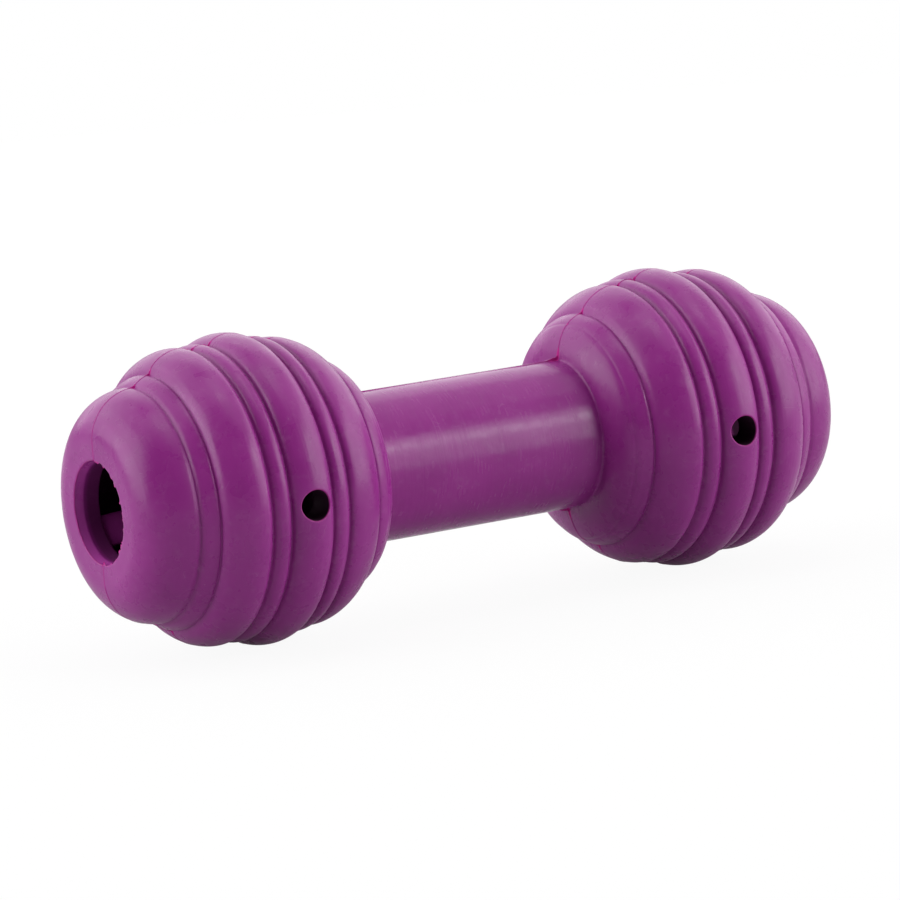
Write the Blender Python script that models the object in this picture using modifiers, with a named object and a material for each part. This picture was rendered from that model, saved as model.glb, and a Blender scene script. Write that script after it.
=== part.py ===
"""Bone-shaped rubber dog toy: two ribbed hollow balls joined by a bar that holds a noise maker.

Metres, +Z up. The toy lies along X, the seam between its rubber halves is the XZ plane, and the
origin is on the floor under the middle of the bar.
"""
import math

import bpy
from mathutils import Matrix, Vector

# Outer form of the rubber body
BALL_OFFSET = 0.0603
BALL_RADIUS = 0.0377
NOSE_LENGTH = 0.0379
NOSE_POWER = 1.9
BAR_RADIUS = 0.0185
MOUTH_RADIUS = 0.01215
MOUTH_LEAD_IN = 0.0003
MOUTH_LEAD_DEPTH = 0.0022
FACE_RING = 0.004
BAR_FILLET = 0.0033
BAR_FILLET_SWEEP = math.radians(75)
LIP_STEP = 0.0004
CONE_LENGTH = 0.0047
CONE_POWER = 1.2
SIDE_HOLE_RADIUS = 0.00375

# Ribs and beads of a ball, outwards from the rib at its middle. Each row holds the distance of the
# groove that ends it from the ball's centre, that groove's depth under the ball's radius, how far
# the crest stands over the line between its two grooves, and its number of facets.
CENTRE_RIB = (0.0055, 0.0034, 0.0034, 8)
INNER_BEAD = (0.0103, 0.0040, 0.0018, 5)
NOSE_RIB = (0.0216, 0.0071, 0.0032, 7)
NOSE_BEAD = (0.0258, 0.0095, 0.0006, 4)
TAIL_RIB = (0.0212, 0.0088, 0.0028, 7)
TAIL_BEAD = (0.0255, 0.0110, 0.0007, 4)

# Hollow inside
MOUTH_WALL = 0.0065
BALL_WALL = 0.0085
CHAMBER_TAIL = 0.0235
TAIL_LIP = 0.003
TAIL_LIP_RADIUS = 0.0085
NOSE_CORNER_START = 0.008
TAIL_CORNER_START = 0.006
TAIL_FACE_RADIUS = 0.017
CORNER_POWER = 1.6

# Gaps
SEAM_GAP = 0.0003
SEAT_GAP = 0.0003
SLIDE_GAP = 0.0004

# Treat fingers behind each mouth
FINGER_ANGLES = (math.radians(90), math.radians(210), math.radians(330))
FINGER_CIRCLE = 0.0139
FINGER_LENGTH = 0.012
FINGER_WIDTH = 0.008
FINGER_ROOT_THICKNESS = 0.0024
FINGER_TIP_THICKNESS = 0.0016
FINGER_LEAN = math.radians(16)
FINGER_BARREL_RADIUS = 0.0013
FINGER_BARREL_STANDOFF = 0.0004
FINGER_FLAT_MARGIN = 0.0013

# Noise maker in the bar
TUBE_RADIUS = 0.012
TUBE_WALL = 0.0014
CAP_FLANGE = 0.0016
CAP_SKIRT = 0.004
CAP_SKIRT_WALL = 0.0015
VENT_RADIUS = 0.0011
VENT_CIRCLE = 0.0046
VENT_COUNT = 6
PAD_PROUD = 0.0006
PAD_RING = 0.002
SLIDER_LENGTH = 0.022
SLIDER_WAIST = 0.0008
SLIDER_BAND = 0.004
SLIDER_DUCT_RADIUS = 0.0034
SLIDER_WALL = 0.0015
SLIDER_FLOOR = 0.002
REED_PLATE = 0.0012
REED_SLOT_LENGTH = 0.0052
REED_SLOT_WIDTH = 0.002
REED_PLATE_BORE = 0.0005
REED_THICKNESS = 0.00035
REED_OVERLAP = 0.0006
REED_ROOT = 0.002
CLAMP_THICKNESS = 0.0008
CLAMP_WIDTH = 0.0046
REED_GAPS = 4

# How far a cutter runs past what it cuts
OVERRUN = 0.005

# Facets round each turned piece and along each curve of an outline
BODY_STEPS = 32
SMALL_STEPS = 24
HOLE_STEPS = 20
VENT_STEPS = 10
NOSE_FACETS = 8
CONE_FACETS = 3
FILLET_FACETS = 4
CORNER_FACETS = 4
BARREL_FACETS = 10
TIP_FACETS = 6

RUBBER = (0.30, 0.05, 0.26, 1)
FINGER_RUBBER = (0.27, 0.045, 0.235, 1)
CLEAR_PLASTIC = (0.78, 0.80, 0.82, 1)
WHITE_PLASTIC = (0.82, 0.82, 0.80, 1)
FOAM = (0.10, 0.10, 0.11, 1)
SLIDER_PLASTIC = (0.05, 0.16, 0.42, 1)
STEEL = (0.55, 0.56, 0.58, 1)
REED_PLASTIC = (0.80, 0.30, 0.08, 1)
BRASS = (0.80, 0.58, 0.22, 1)

# The lowest facet of each ball lies flat on the floor.
AXIS_HEIGHT = BALL_RADIUS * math.cos(math.pi / BODY_STEPS)
CAVITY_FACE = NOSE_LENGTH - MOUTH_WALL
CHAMBER_RADIUS = BALL_RADIUS - BALL_WALL
BAR_BORE = TUBE_RADIUS + SEAT_GAP
CARTRIDGE_END = BALL_OFFSET - CHAMBER_TAIL - TAIL_LIP - SEAT_GAP
FINGER_SEAT_RADIUS = FINGER_BARREL_RADIUS + SEAT_GAP
FINGER_ROOT_X = BALL_OFFSET + CAVITY_FACE - FINGER_BARREL_STANDOFF
FINGER_FACE_RADIUS = FINGER_CIRCLE + FINGER_SEAT_RADIUS + FINGER_FLAT_MARGIN
TUBE_BORE = TUBE_RADIUS - TUBE_WALL
SKIRT_RADIUS = TUBE_BORE - SEAT_GAP
PAD_RADIUS = SKIRT_RADIUS - CAP_SKIRT_WALL - SEAT_GAP
CAP_INNER_X = CARTRIDGE_END - CAP_FLANGE
PAD_FACE_X = CAP_INNER_X - CAP_SKIRT - PAD_PROUD
SLIDER_RADIUS = TUBE_BORE - SLIDE_GAP
SLIDER_REST_X = -(PAD_FACE_X - SEAT_GAP - SLIDER_LENGTH / 2)
REED_STACK = REED_PLATE + REED_THICKNESS + CLAMP_THICKNESS + REED_GAPS * SEAT_GAP
RECESS_RADIUS = SLIDER_RADIUS - SLIDER_WALL
PLATE_RADIUS = RECESS_RADIUS - SEAT_GAP
POCKET_WALL = SLIDER_WALL + SEAT_GAP


def clear_scene():
    for old in list(bpy.data.objects):
        bpy.data.objects.remove(old, do_unlink=True)


def new_collection(name):
    made = bpy.data.collections.new(name)
    bpy.context.scene.collection.children.link(made)
    return made


def new_material(name, colour, roughness, metallic=0.0):
    made = bpy.data.materials.new(name)
    made.use_nodes = True
    made.diffuse_color = colour
    shader = made.node_tree.nodes["Principled BSDF"]
    shader.inputs["Base Color"].default_value = colour
    shader.inputs["Roughness"].default_value = roughness
    shader.inputs["Metallic"].default_value = metallic
    return made


def put_in(obj, collection):
    for holder in list(obj.users_collection):
        holder.objects.unlink(obj)
    collection.objects.link(obj)
    return obj


def add_cutter(obj, name, group):
    obj.name = name
    obj.hide_render = True
    obj.display_type = "WIRE"
    return put_in(obj, group)


def cut(obj, cutter):
    step = obj.modifiers.new("cut_" + cutter.name, "BOOLEAN")
    step.operation = "DIFFERENCE"
    step.solver = "EXACT"
    if isinstance(cutter, bpy.types.Collection):
        step.operand_type = "COLLECTION"
        step.collection = cutter
    else:
        step.object = cutter


def along_x(turn=0.0):
    """Rotation that lays the local Z axis along +X, after a turn about it."""
    return Matrix.Rotation(math.pi / 2, 4, "Y") @ Matrix.Rotation(turn, 4, "Z")


def turned(name, profile, material, steps, centre_x=0.0):
    """Closed loop of (distance along X, radius), outer side first from +X to -X, turned about X."""
    mesh = bpy.data.meshes.new(name)
    points = [(radius, 0.0, along) for along, radius in profile]
    edges = [(i, (i + 1) % len(points)) for i in range(len(points))]
    mesh.from_pydata(points, edges, [])
    mesh.materials.append(material)
    obj = bpy.data.objects.new(name, mesh)
    screw = obj.modifiers.new("turn", "SCREW")
    screw.axis = "Z"
    screw.angle = math.tau
    screw.steps = steps
    screw.render_steps = steps
    screw.use_smooth_shade = True
    screw.use_merge_vertices = True
    screw.merge_threshold = 0.00001
    place = Matrix.Translation((centre_x, 0.0, AXIS_HEIGHT)) @ along_x(math.pi / steps)
    obj.matrix_world = place
    model.objects.link(obj)
    return obj


def cylinder_cutter(name, group, centre, direction, radius, length, steps):
    bpy.ops.mesh.primitive_cylinder_add(vertices=steps, radius=radius, depth=length)
    obj = bpy.context.active_object
    aim = Vector(direction).to_track_quat("Z", "Y").to_matrix().to_4x4()
    obj.matrix_world = Matrix.Translation(centre) @ aim
    return add_cutter(obj, name, group)


def box_cutter(name, group, centre, size):
    bpy.ops.mesh.primitive_cube_add(size=1.0)
    obj = bpy.context.active_object
    obj.data.transform(Matrix.Diagonal((*size, 1.0)))
    obj.location = centre
    return add_cutter(obj, name, group)


def box_piece(name, material, centre, size):
    bpy.ops.mesh.primitive_cube_add(size=1.0)
    obj = bpy.context.active_object
    obj.name = name
    obj.data.transform(Matrix.Diagonal((*size, 1.0)))
    obj.location = centre
    obj.data.materials.append(material)
    return put_in(obj, model)


def arched(start, end, rise, count):
    """Half-ellipse bump from start to end, without its start point."""
    points = []
    for i in range(1, count + 1):
        angle = math.pi * i / count
        share = (1 - math.cos(angle)) / 2
        along = start[0] + (end[0] - start[0]) * share
        radius = start[1] + (end[1] - start[1]) * share + rise * math.sin(angle)
        points.append((along, radius))
    return points


def corner(start, end, count, power, swap):
    """Rounded corner between two points on a superellipse, without its start point.

    It leaves the start along the radius, or along the axis where swap is set.
    """
    points = []
    for i in range(1, count + 1):
        angle = math.pi / 2 * i / count
        slow = 1 - math.cos(angle) ** (2 / power) if i < count else 1.0
        fast = math.sin(angle) ** (2 / power)
        if swap:
            slow, fast = fast, slow
        points.append((start[0] + (end[0] - start[0]) * slow, start[1] + (end[1] - start[1]) * fast))
    return points


def groove(row, side):
    return (side * row[0], BALL_RADIUS - row[1])


def ball_outside():
    """Outside of one ball, as (distance from its centre towards its mouth, radius), mouth first."""
    rim = MOUTH_RADIUS + MOUTH_LEAD_IN
    face_edge = (NOSE_LENGTH, rim + FACE_RING)
    points = [(NOSE_LENGTH, rim), face_edge]
    points += corner(face_edge, groove(NOSE_BEAD, 1), NOSE_FACETS, NOSE_POWER, False)
    nose_side = (NOSE_BEAD, NOSE_RIB, INNER_BEAD, CENTRE_RIB)
    for row, inner in zip(nose_side, nose_side[1:]):
        points += arched(groove(row, 1), groove(inner, 1), row[2], row[3])
    points += arched(groove(CENTRE_RIB, 1), groove(CENTRE_RIB, -1), CENTRE_RIB[2], CENTRE_RIB[3])
    tail_side = (CENTRE_RIB, INNER_BEAD, TAIL_RIB, TAIL_BEAD)
    for inner, row in zip(tail_side, tail_side[1:]):
        points += arched(groove(inner, -1), groove(row, -1), row[2], row[3])
    return points + tail_outside(points[-1])


def tail_outside(start):
    """Cone behind the last bead, the thin lip round the bar's root and the fillet onto the bar."""
    lip_radius = BAR_RADIUS + BAR_FILLET * (1 - math.cos(BAR_FILLET_SWEEP))
    points = corner(start, (start[0] - CONE_LENGTH, lip_radius), CONE_FACETS, CONE_POWER, True)
    lip_x = points[-1][0] - LIP_STEP
    centre = (lip_x - BAR_FILLET * math.sin(BAR_FILLET_SWEEP), BAR_RADIUS + BAR_FILLET)
    for i in range(FILLET_FACETS + 1):
        angle = BAR_FILLET_SWEEP * (1 - i / FILLET_FACETS)
        points.append((centre[0] + BAR_FILLET * math.sin(angle), centre[1] - BAR_FILLET * math.cos(angle)))
    return points


def ball_inside():
    """Inside of one ball: mouth, chamber and the lip that holds the noise maker, mouth first."""
    face = (CAVITY_FACE, FINGER_FACE_RADIUS)
    tail_face = (-CHAMBER_TAIL, TAIL_FACE_RADIUS)
    seat_x = -CHAMBER_TAIL - TAIL_LIP
    points = [(NOSE_LENGTH - MOUTH_LEAD_DEPTH, MOUTH_RADIUS), (CAVITY_FACE, MOUTH_RADIUS), face]
    points += corner(face, (NOSE_CORNER_START, CHAMBER_RADIUS), CORNER_FACETS, CORNER_POWER, False)
    points.append((-TAIL_CORNER_START, CHAMBER_RADIUS))
    points += corner(points[-1], tail_face, CORNER_FACETS, CORNER_POWER, True)
    points += [(-CHAMBER_TAIL, TAIL_LIP_RADIUS), (seat_x, TAIL_LIP_RADIUS), (seat_x, BAR_BORE)]
    return points


def body_profile():
    outside = [(BALL_OFFSET + along, radius) for along, radius in ball_outside()]
    inside = [(BALL_OFFSET + along, radius) for along, radius in ball_inside()]
    outside += [(-along, radius) for along, radius in reversed(outside)]
    inside = [(-along, radius) for along, radius in inside] + list(reversed(inside))
    return outside + inside


def finger_frame(side, angle):
    """Place of a finger: X along its tongue, Y the way its tip moves in, Z its hinge axis."""
    radial = Vector((0.0, math.cos(angle), math.sin(angle)))
    inwards = Vector((-side, 0.0, 0.0))
    tongue = inwards * math.cos(FINGER_LEAN) - radial * math.sin(FINGER_LEAN)
    hinge = Vector((side, 0.0, 0.0)).cross(radial)
    across = hinge.cross(tongue)
    centre = Vector((side * FINGER_ROOT_X, 0.0, AXIS_HEIGHT)) + radial * FINGER_CIRCLE
    place = Matrix((tongue, across, hinge)).transposed().to_4x4()
    place.translation = centre
    return place


def finger_outline():
    """Side view of a finger: a round root and a tongue that thins to a round tip."""
    root = FINGER_ROOT_THICKNESS / 2
    tip = FINGER_TIP_THICKNESS / 2
    meet = math.asin(root / FINGER_BARREL_RADIUS)
    points = []
    for i in range(BARREL_FACETS + 1):
        angle = meet + (math.tau - 2 * meet) * i / BARREL_FACETS
        points.append((FINGER_BARREL_RADIUS * math.cos(angle), FINGER_BARREL_RADIUS * math.sin(angle)))
    for i in range(TIP_FACETS + 1):
        angle = -math.pi / 2 + math.pi * i / TIP_FACETS
        points.append((FINGER_LENGTH - tip + tip * math.cos(angle), tip * math.sin(angle)))
    return points


def extruded(name, outline, width, material, place):
    """Flat outline in the local XY plane, as thick as width along the local Z axis."""
    curve = bpy.data.curves.new(name, "CURVE")
    curve.dimensions = "2D"
    curve.fill_mode = "BOTH"
    curve.extrude = width / 2
    spline = curve.splines.new("POLY")
    spline.points.add(len(outline) - 1)
    for point, (across, up) in zip(spline.points, outline):
        point.co = (across, up, 0.0, 1.0)
    spline.use_cyclic_u = True
    curve.materials.append(material)
    obj = bpy.data.objects.new(name, curve)
    obj.matrix_world = place
    model.objects.link(obj)
    return obj


def make_shells(rubber):
    holes = new_collection("shell_cutters")
    for side, end in ((-1, "left"), (1, "right")):
        centre = (side * BALL_OFFSET, 0.0, AXIS_HEIGHT)
        cylinder_cutter(end + "_side_hole_cutter", holes, centre, (0, 1, 0), SIDE_HOLE_RADIUS,
                        2 * (BALL_RADIUS + OVERRUN), HOLE_STEPS)
        for number, angle in enumerate(FINGER_ANGLES, 1):
            place = finger_frame(side, angle)
            cylinder_cutter(end + "_seat_cutter_" + str(number), holes, place.translation,
                            place.col[2].to_3d(), FINGER_SEAT_RADIUS, FINGER_WIDTH + 2 * SEAT_GAP,
                            HOLE_STEPS)
    profile = body_profile()
    depth = BALL_RADIUS + OVERRUN
    size = (2 * (BALL_OFFSET + NOSE_LENGTH + OVERRUN), depth, 2 * depth)
    for name, side in (("front_half_shell", -1), ("rear_half_shell", 1)):
        shell = turned(name, profile, rubber, BODY_STEPS)
        middle = (0.0, -side * (depth / 2 - SEAM_GAP / 2), AXIS_HEIGHT)
        cut(shell, box_cutter(name + "_cutter", cutters, middle, size))
        cut(shell, holes)


def make_fingers(rubber):
    outline = finger_outline()
    for side, end in ((-1, "left"), (1, "right")):
        for number, angle in enumerate(FINGER_ANGLES, 1):
            name = end + "_treat_finger_" + str(number)
            extruded(name, outline, FINGER_WIDTH, rubber, finger_frame(side, angle))


def make_cartridge(clear, white, foam):
    tube_end = CAP_INNER_X - SEAT_GAP
    tube = [(tube_end, TUBE_RADIUS), (-tube_end, TUBE_RADIUS), (-tube_end, TUBE_BORE), (tube_end, TUBE_BORE)]
    turned("sounder_tube", tube, clear, SMALL_STEPS)
    for side, end in ((-1, "left"), (1, "right")):
        make_cap(side, end, white)
        back = CAP_INNER_X - SEAT_GAP
        ring = [(back, PAD_RADIUS), (PAD_FACE_X, PAD_RADIUS), (PAD_FACE_X, PAD_RADIUS - PAD_RING),
                (back, PAD_RADIUS - PAD_RING)]
        turned(end + "_bumper_pad", facing(ring, side), foam, SMALL_STEPS)


def facing(loop, side):
    """The loop as it is for the +X end, or turned end for end, still outer side first."""
    if side > 0:
        return loop
    return [(-along, radius) for along, radius in reversed(loop)]


def make_cap(side, end, white):
    skirt_end = CAP_INNER_X - CAP_SKIRT
    skirt_bore = SKIRT_RADIUS - CAP_SKIRT_WALL
    loop = [(CARTRIDGE_END, VENT_RADIUS), (CARTRIDGE_END, TUBE_RADIUS), (CAP_INNER_X, TUBE_RADIUS),
            (CAP_INNER_X, SKIRT_RADIUS), (skirt_end, SKIRT_RADIUS), (skirt_end, skirt_bore),
            (CAP_INNER_X, skirt_bore), (CAP_INNER_X, VENT_RADIUS)]
    cap = turned(end + "_sounder_cap", facing(loop, side), white, SMALL_STEPS)
    vents = new_collection(end + "_vent_cutters")
    middle = side * (CARTRIDGE_END - CAP_FLANGE / 2)
    for number in range(VENT_COUNT):
        angle = math.tau * number / VENT_COUNT
        centre = (middle, VENT_CIRCLE * math.cos(angle), AXIS_HEIGHT + VENT_CIRCLE * math.sin(angle))
        cylinder_cutter(end + "_vent_cutter_" + str(number), vents, centre, (1, 0, 0), VENT_RADIUS,
                        CAP_FLANGE + 2 * OVERRUN, VENT_STEPS)
    cut(cap, vents)


def make_slider(plastic, steel, reed_plastic, brass):
    half = SLIDER_LENGTH / 2
    floor = half - REED_STACK
    duct_outer = SLIDER_DUCT_RADIUS + SLIDER_WALL
    pocket_outer = RECESS_RADIUS - POCKET_WALL
    pocket_end = -floor + SLIDER_FLOOR
    waist = SLIDER_RADIUS - SLIDER_WAIST
    body = [(half, SLIDER_RADIUS), (half - SLIDER_BAND, SLIDER_RADIUS), (half - SLIDER_BAND, waist),
            (SLIDER_BAND - half, waist), (SLIDER_BAND - half, SLIDER_RADIUS), (-half, SLIDER_RADIUS),
            (-half, RECESS_RADIUS), (-floor, RECESS_RADIUS), (-floor, SLIDER_DUCT_RADIUS),
            (floor, SLIDER_DUCT_RADIUS), (floor, duct_outer), (pocket_end, duct_outer),
            (pocket_end, pocket_outer), (floor, pocket_outer), (floor, RECESS_RADIUS),
            (half, RECESS_RADIUS)]
    weight_start = pocket_end + SEAT_GAP
    ring = [(floor, pocket_outer - SEAT_GAP), (weight_start, pocket_outer - SEAT_GAP),
            (weight_start, duct_outer + SEAT_GAP), (floor, duct_outer + SEAT_GAP)]
    pieces = [turned("slider_body", body, plastic, SMALL_STEPS, SLIDER_REST_X),
              turned("slider_weight", ring, steel, SMALL_STEPS, SLIDER_REST_X)]
    for side, end in ((-1, "left"), (1, "right")):
        pieces += make_reed(side, end, floor, reed_plastic, brass)
    axis = bpy.data.objects.new("slider_axis", None)
    axis.location = (SLIDER_REST_X, 0.0, AXIS_HEIGHT)
    model.objects.link(axis)
    for piece in pieces:
        piece.parent = axis
        piece.matrix_parent_inverse = Matrix.Translation(axis.location).inverted()


def make_reed(side, end, floor, reed_plastic, brass):
    """Slotted plate in the slider's end, the brass tongue over its slot and the bar that clamps it."""
    back = floor + SEAT_GAP
    front = back + REED_PLATE
    disc = [(front, REED_PLATE_BORE), (front, PLATE_RADIUS), (back, PLATE_RADIUS), (back, REED_PLATE_BORE)]
    plate = turned(end + "_reed_plate", facing(disc, side), reed_plastic, SMALL_STEPS, SLIDER_REST_X)
    middle = SLIDER_REST_X + side * (back + front) / 2
    slot = box_cutter(end + "_reed_slot_cutter", cutters, (middle, 0.0, AXIS_HEIGHT),
                      (REED_PLATE + 2 * OVERRUN, REED_SLOT_WIDTH, REED_SLOT_LENGTH))
    cut(plate, slot)
    tongue_x = SLIDER_REST_X + side * (front + SEAT_GAP + REED_THICKNESS / 2)
    tongue_length = REED_SLOT_LENGTH + REED_OVERLAP + REED_ROOT
    tongue_z = AXIS_HEIGHT - REED_SLOT_LENGTH / 2 - REED_ROOT + tongue_length / 2
    tongue = box_piece(end + "_reed_tongue", brass, (tongue_x, 0.0, tongue_z),
                       (REED_THICKNESS, REED_SLOT_WIDTH + 2 * REED_OVERLAP, tongue_length))
    clamp_x = tongue_x + side * (REED_THICKNESS / 2 + SEAT_GAP + CLAMP_THICKNESS / 2)
    clamp_z = AXIS_HEIGHT - REED_SLOT_LENGTH / 2 - REED_ROOT / 2
    clamp = box_piece(end + "_reed_clamp", reed_plastic, (clamp_x, 0.0, clamp_z),
                      (CLAMP_THICKNESS, CLAMP_WIDTH, REED_ROOT))
    return [plate, tongue, clamp]


clear_scene()
model = new_collection("bone_dog_toy")
cutters = new_collection("cutters")

make_shells(new_material("body_rubber", RUBBER, 0.6))
make_fingers(new_material("finger_rubber", FINGER_RUBBER, 0.65))
make_cartridge(new_material("clear_plastic", CLEAR_PLASTIC, 0.2), new_material("white_plastic", WHITE_PLASTIC, 0.35),
               new_material("foam", FOAM, 0.9))
make_slider(new_material("slider_plastic", SLIDER_PLASTIC, 0.4), new_material("steel", STEEL, 0.3, 1.0),
            new_material("reed_plastic", REED_PLASTIC, 0.4), new_material("brass", BRASS, 0.3, 1.0))
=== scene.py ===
import math

import bpy
import numpy as np
from mathutils import Matrix, Vector
from mathutils.geometry import tessellate_polygon


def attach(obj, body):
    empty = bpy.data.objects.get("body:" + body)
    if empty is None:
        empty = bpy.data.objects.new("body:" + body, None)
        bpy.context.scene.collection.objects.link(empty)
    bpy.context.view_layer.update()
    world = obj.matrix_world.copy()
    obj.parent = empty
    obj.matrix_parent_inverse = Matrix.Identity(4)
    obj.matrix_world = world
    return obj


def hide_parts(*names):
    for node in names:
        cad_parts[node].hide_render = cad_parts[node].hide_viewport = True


# Looks of the bone-shaped dog toy: fine rubber halves with their seam, treat fingers and noise maker
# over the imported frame. Metres, +Z up, the toy along X.

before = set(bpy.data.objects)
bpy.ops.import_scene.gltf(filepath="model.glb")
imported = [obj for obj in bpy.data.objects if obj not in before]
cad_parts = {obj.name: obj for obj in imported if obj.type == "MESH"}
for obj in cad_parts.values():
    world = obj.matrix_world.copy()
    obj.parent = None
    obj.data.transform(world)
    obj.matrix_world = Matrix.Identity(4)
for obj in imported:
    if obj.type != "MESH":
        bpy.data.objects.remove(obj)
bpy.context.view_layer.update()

# Axis and outer form, the same named sizes as the solids have, with smooth rounds
AXIS_HEIGHT = 0.0375185
BALL_OFFSET = 0.0603
BALL_RADIUS = 0.0375
NOSE_LENGTH = 0.0379
NOSE_POWER = 2.0
BAR_RADIUS = 0.01842
MOUTH_RADIUS = 0.01205
MOUTH_LEAD_IN = 0.0004
MOUTH_LEAD_DEPTH = 0.0023
FACE_RING = 0.004
BAR_FILLET = 0.0005
BAR_FILLET_SWEEP = math.radians(75)
LIP_STEP = 0.00012
CONE_LENGTH = 0.0036
CONE_POWER = 1.5
SIDE_HOLE_RADIUS = 0.0036
GROOVE_ROUND = 0.00025

# Groove distance from the ball's centre, groove radius, and rise of the crest that the groove ends
CENTRE_RIB = (0.0055, 0.03418, 0.00332)
INNER_BEAD = (0.0103, 0.03358, 0.0018)
NOSE_RIB = (0.0216, 0.03022, 0.0033)
NOSE_BEAD = (0.0258, 0.02812, 0.0007)
TAIL_RIB = (0.0212, 0.02890, 0.0028)
TAIL_BEAD = (0.0255, 0.02690, 0.0006)

# Fine crease cut along each groove: distance from the ball's centre, depth, half width on each side
CREASES = (
    (0.0258, 0.00030, 0.0006, 0.0003),
    (0.0216, 0.00040, 0.0003, 0.0007),
    (0.0103, 0.00025, 0.0005, 0.0004),
    (0.0055, 0.00020, 0.0004, 0.0004),
    (-0.0055, 0.00020, 0.0004, 0.0004),
    (-0.0103, 0.00025, 0.0004, 0.0005),
    (-0.0212, 0.00030, 0.0005, 0.0004),
    (-0.0255, 0.00005, 0.0005, 0.0004),
)

# Hollow
CAVITY_FACE = NOSE_LENGTH - 0.0065
CHAMBER_RADIUS = 0.0292
CHAMBER_TAIL = 0.0235
TAIL_LIP = 0.003
TAIL_LIP_RADIUS = 0.0085
NOSE_CORNER_START = 0.008
TAIL_CORNER_START = 0.006
TAIL_FACE_RADIUS = 0.017
FINGER_FACE_RADIUS = 0.0168
CORNER_POWER = 1.6
BAR_BORE = 0.0123

# How far the toy is rolled about its bar in the photo, and the camera fitted to it
PHOTO_ROLL = math.radians(8)
VIEW_AZIMUTH = -31.51
VIEW_ELEVATION = 15.83
VIEW_TARGET = (-0.001688, 0.0, 0.000792)
VIEW_ROLL = math.radians(-0.198)
VIEW_DISTANCE = 1.155
VIEW_LENS = 189.364


def in_part_frame(point):
    """A point given round the bar's axis as the photo shows it, turned to the frame of the solids."""
    x, y, z = point
    c, s = math.cos(PHOTO_ROLL), math.sin(PHOTO_ROLL)
    return Vector((x, y * c - z * s, AXIS_HEIGHT + y * s + z * c))


def direction(azimuth, elevation):
    """Unit vector: azimuth 0 is towards -Y, the toy's front, and 90 is towards +X."""
    a, e = math.radians(azimuth), math.radians(elevation)
    return Vector((math.sin(a) * math.cos(e), -math.cos(a) * math.cos(e), math.sin(e)))


def add_camera():
    """The photo's view, fitted to the toy's outline, mouth, side holes and seam."""
    back = direction(VIEW_AZIMUTH, VIEW_ELEVATION)
    right = Vector((0, 0, 1)).cross(back).normalized()
    up = back.cross(right)
    c, s = math.cos(VIEW_ROLL), math.sin(VIEW_ROLL)
    right, up = right * c + up * s, up * c - right * s
    turn = Matrix.Rotation(PHOTO_ROLL, 3, "X")
    place = (turn @ Matrix((right, up, back)).transposed()).to_4x4()
    place.translation = in_part_frame(Vector(VIEW_TARGET) + back * VIEW_DISTANCE)
    data = bpy.data.cameras.new("camera")
    data.sensor_width = 36.0
    data.lens = VIEW_LENS
    data.clip_start = 0.01
    obj = bpy.data.objects.new("camera", data)
    obj.matrix_world = place
    bpy.context.scene.collection.objects.link(obj)
    bpy.context.scene.camera = obj


add_camera()


# ---- profile of the rubber body ----

def arched(start, end, rise, count):
    """Crest between two grooves."""
    t = np.linspace(0, math.pi, count + 1)[1:]
    share = (1 - np.cos(t)) / 2
    along = start[0] + (end[0] - start[0]) * share
    radius = start[1] + (end[1] - start[1]) * share + rise * np.sin(t)
    return list(zip(along, radius))


def corner(start, end, count, power, swap):
    """Quarter of a rounded corner: power 2 is an ellipse, less is flatter, and swap leaves along the other side."""
    t = np.linspace(0, math.pi / 2, count + 1)[1:]
    slow = 1 - np.clip(np.cos(t), 0, 1) ** (2 / power)
    fast = np.sin(t) ** (2 / power)
    if swap:
        slow, fast = fast, slow
    return list(zip(start[0] + (end[0] - start[0]) * slow, start[1] + (end[1] - start[1]) * fast))


def straight(start, end, count):
    """Even steps along a line, without its start."""
    t = np.linspace(0, 1, count + 1)[1:]
    return [(start[0] + (end[0] - start[0]) * k, start[1] + (end[1] - start[1]) * k) for k in t]


def ball_outside():
    """Outside of a ball from its mouth to the bar, as (distance from the ball's centre, radius)."""
    rim = MOUTH_RADIUS + MOUTH_LEAD_IN
    edge = (NOSE_LENGTH, rim + FACE_RING)
    points = [(NOSE_LENGTH - 0.0002, rim - 0.00003), (NOSE_LENGTH - 0.00007, rim + 0.00006),
              (NOSE_LENGTH, rim + 0.0002)]
    points += straight(points[-1], edge, 8)
    points += corner(edge, NOSE_BEAD[:2], 52, NOSE_POWER, False)
    points += arched(NOSE_BEAD[:2], NOSE_RIB[:2], NOSE_BEAD[2], 16)
    points += arched(NOSE_RIB[:2], INNER_BEAD[:2], NOSE_RIB[2], 40)
    points += arched(INNER_BEAD[:2], CENTRE_RIB[:2], INNER_BEAD[2], 24)
    far = (-CENTRE_RIB[0], CENTRE_RIB[1])
    points += arched(CENTRE_RIB[:2], far, CENTRE_RIB[2], 44)
    bead = (-INNER_BEAD[0], INNER_BEAD[1])
    points += arched(far, bead, INNER_BEAD[2], 24)
    rib = (-TAIL_RIB[0], TAIL_RIB[1])
    points += arched(bead, rib, TAIL_RIB[2], 40)
    last = (-TAIL_BEAD[0], TAIL_BEAD[1])
    points += arched(rib, last, TAIL_BEAD[2], 16)
    lip_radius = BAR_RADIUS + BAR_FILLET * (1 - math.cos(BAR_FILLET_SWEEP))
    points += corner(last, (last[0] - CONE_LENGTH, lip_radius), 20, CONE_POWER, True)
    lip_x = points[-1][0] - LIP_STEP
    points.append((lip_x + LIP_STEP * 0.3, lip_radius - 0.00005))
    centre = (lip_x - BAR_FILLET * math.sin(BAR_FILLET_SWEEP), BAR_RADIUS + BAR_FILLET)
    for k in np.linspace(1, 0, 15):
        a = BAR_FILLET_SWEEP * k
        points.append((centre[0] + BAR_FILLET * math.sin(a), centre[1] - BAR_FILLET * math.cos(a)))
    return points


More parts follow.
